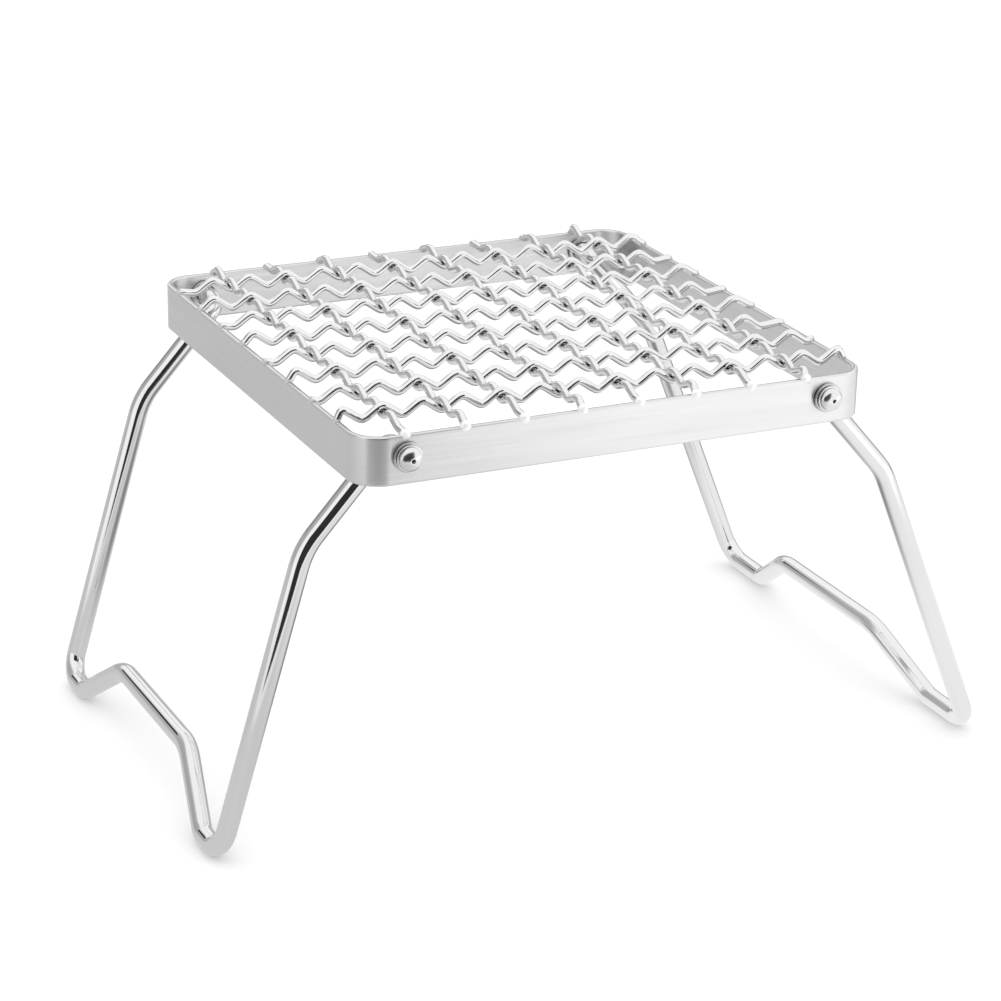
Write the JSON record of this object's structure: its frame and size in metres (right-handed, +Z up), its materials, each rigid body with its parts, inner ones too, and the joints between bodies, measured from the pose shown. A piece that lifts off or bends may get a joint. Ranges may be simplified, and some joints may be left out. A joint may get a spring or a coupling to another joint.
{
  "type": "folding camp grill",
  "caption": "Pocket camp grill: a square woven wire grate welded into a flat steel band, on two U-shaped wire legs that fold flat beneath it.",
  "frame": {"origin": "middle of the footprint on the floor, midway between the outer edges of the left and right feet", "axes": "+X to the right, from one leg to the other; +Y to the rear, along the pivots; +Z up, from the floor to the grate"},
  "size_m": [0.22, 0.1492, 0.1146],
  "materials": {
    "band_steel": "brushed lengthways, satin",
    "wire_steel": "drawn wire, semi-bright",
    "leg_steel": "polished",
    "washer_steel": "satin",
    "cap_steel": "polished"
  },
  "bodies": {
    "frame": {"band_frame": "band_steel", "grid_row_1": "wire_steel", "grid_column_1": "wire_steel", "grid_row_2": "wire_steel", "grid_column_2": "wire_steel", "grid_row_3": "wire_steel", "grid_column_3": "wire_steel", "grid_row_4": "wire_steel", "grid_column_4": "wire_steel", "grid_row_5": "wire_steel", "grid_column_5": "wire_steel", "grid_row_6": "wire_steel", "grid_column_6": "wire_steel", "grid_row_7": "wire_steel", "grid_column_7": "wire_steel", "grid_row_8": "wire_steel", "grid_column_8": "wire_steel", "left_front_inner_washer": "washer_steel", "left_front_outer_washer": "washer_steel", "left_rear_inner_washer": "washer_steel", "left_rear_outer_washer": "washer_steel", "right_front_inner_washer": "washer_steel", "right_front_outer_washer": "washer_steel", "right_rear_inner_washer": "washer_steel", "right_rear_outer_washer": "washer_steel"},
    "left_leg": {"left_leg": "leg_steel", "left_front_cap": "cap_steel", "left_rear_cap": "cap_steel"},
    "right_leg": {"right_leg": "leg_steel", "right_front_cap": "cap_steel", "right_rear_cap": "cap_steel"}
  },
  "joints": [
    {"name": "left_leg_fold", "type": "hinge", "parent": "frame", "child": "left_leg", "pos_m": [-0.06315, 0, 0.1056], "axis": [0, -1, 0], "range_deg": [0, 109]},
    {"name": "right_leg_fold", "type": "hinge", "parent": "frame", "child": "right_leg", "pos_m": [0.05305, 0, 0.1056], "axis": [0, 1, 0], "range_deg": [0, 112]}
  ]
}
